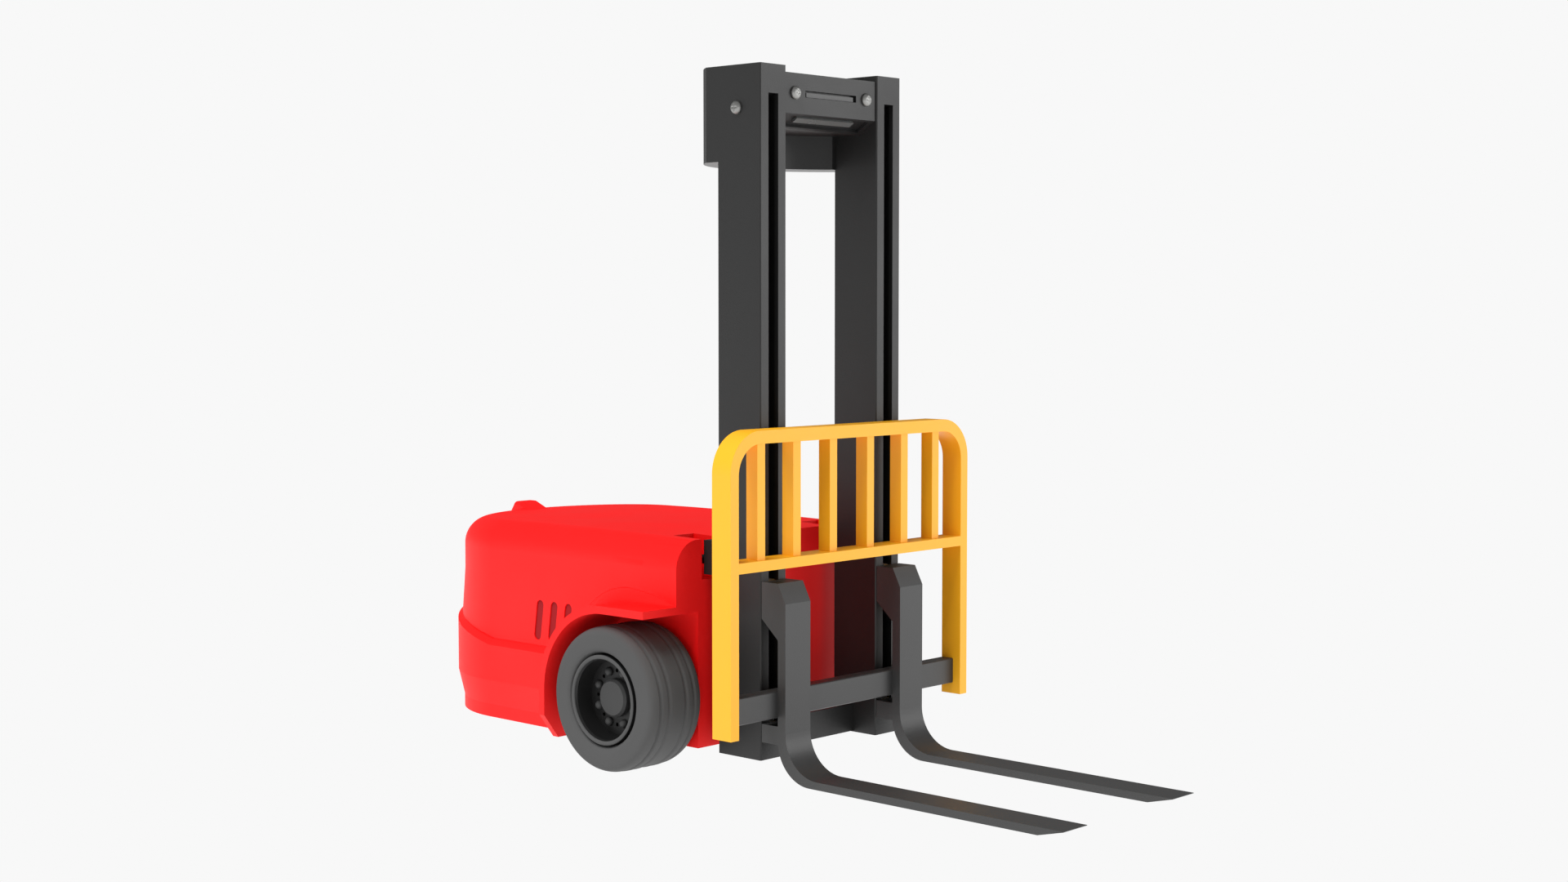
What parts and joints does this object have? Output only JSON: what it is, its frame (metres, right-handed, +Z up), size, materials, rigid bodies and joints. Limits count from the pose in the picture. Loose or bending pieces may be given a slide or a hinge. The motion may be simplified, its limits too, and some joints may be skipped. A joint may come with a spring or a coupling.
{
  "type": "toy forklift",
  "caption": "Toy counterbalance forklift: rounded hood, slotted twin-column tilting mast, sliding fork carriage with grille backrest, arched fenders, dished front wheels, rear swivel wheel.",
  "frame": {"origin": "middle of the footprint, on the floor the wheels stand on", "axes": "+X the vehicle's left, +Y towards the rear so that the forks point along -Y, +Z up"},
  "size_m": [0.112, 0.2545, 0.2056],
  "materials": {
    "red": "satin moulded",
    "vent": "satin moulded, darker",
    "yellow": "satin moulded",
    "mast_grey": "fine satin moulded",
    "fork_grey": "fine satin moulded",
    "black": "fine texture",
    "rim_grey": "satin moulded",
    "nickel": "bright nickel",
    "steel": "plain",
    "tyre": "matt",
    "lens": "smoked translucent",
    "pom": "natural low-friction plastic"
  },
  "bodies": {
    "chassis": {"lower_body": "red", "hood": "red", "hood_scoop": "red", "fender_right": "red", "fender_left": "red", "vent_panel_right": "vent", "vent_panel_left": "vent", "base_plate": "black", "base_screws": "steel", "front_axle": "steel", "axle_push_nuts": "steel", "ballast_block": "steel", "swivel_housing": "black", "mast_pivot_bracket": "black", "mast_pivot_pin": "steel"},
    "mast": {"mast_column_right": "mast_grey", "mast_column_left": "mast_grey", "top_beam": "mast_grey", "beam_inlay": "black", "work_light_lens": "lens", "beam_screws": "nickel", "side_screws": "nickel", "mast_head_cover": "mast_grey", "mast_head_lid": "mast_grey", "bottom_tie": "mast_grey", "tilt_bracket_right": "black", "tilt_bracket_left": "black", "tilt_rod_right": "steel", "tilt_rod_left": "steel", "tilt_stop_rings": "steel"},
    "carriage": {"fork_right": "fork_grey", "fork_left": "fork_grey", "carriage_bar": "fork_grey", "load_backrest": "yellow", "guide_shoes_right": "pom", "guide_shoes_left": "pom", "fork_screws": "steel"},
    "front_wheel_right": {"tyre_right": "tyre", "rim_right": "rim_grey", "hub_cap_right": "rim_grey", "lug_nuts_right": "rim_grey"},
    "front_wheel_left": {"tyre_left": "tyre", "rim_left": "rim_grey", "hub_cap_left": "rim_grey", "lug_nuts_left": "rim_grey"},
    "steer_swivel": {"steer_yoke": "black", "kingpin_washer": "steel", "kingpin_screw": "steel", "rear_axle_pin": "steel"},
    "rear_wheel_right": {"rear_hub_right": "black", "rear_tyre_right": "tyre"},
    "rear_wheel_left": {"rear_hub_left": "black", "rear_tyre_left": "tyre"}
  },
  "joints": [
    {"name": "mast_tilt", "type": "hinge", "parent": "chassis", "child": "mast", "pos_m": [0, -0.00105, 0.0106], "axis": [1, 0, 0], "range_deg": [-4, 3]},
    {"name": "carriage_lift", "type": "slide", "parent": "mast", "child": "carriage", "axis": [0, 0, 1], "range_m": [0, 0.139]},
    {"name": "front_spin_right", "type": "hinge", "parent": "chassis", "child": "front_wheel_right", "pos_m": [-0.045, 0.01965, 0.0216], "axis": [1, 0, 0], "continuous": true},
    {"name": "front_spin_left", "type": "hinge", "parent": "chassis", "child": "front_wheel_left", "pos_m": [0.045, 0.01965, 0.0216], "axis": [1, 0, 0], "continuous": true},
    {"name": "steer_turn", "type": "hinge", "parent": "chassis", "child": "steer_swivel", "pos_m": [0, 0.09125, 0.024], "axis": [0, 0, 1], "continuous": true},
    {"name": "rear_spin_right", "type": "hinge", "parent": "steer_swivel", "child": "rear_wheel_right", "pos_m": [-0.007, 0.09825, 0.011], "axis": [1, 0, 0], "continuous": true},
    {"name": "rear_spin_left", "type": "hinge", "parent": "steer_swivel", "child": "rear_wheel_left", "pos_m": [0.007, 0.09825, 0.011], "axis": [1, 0, 0], "continuous": true}
  ]
}
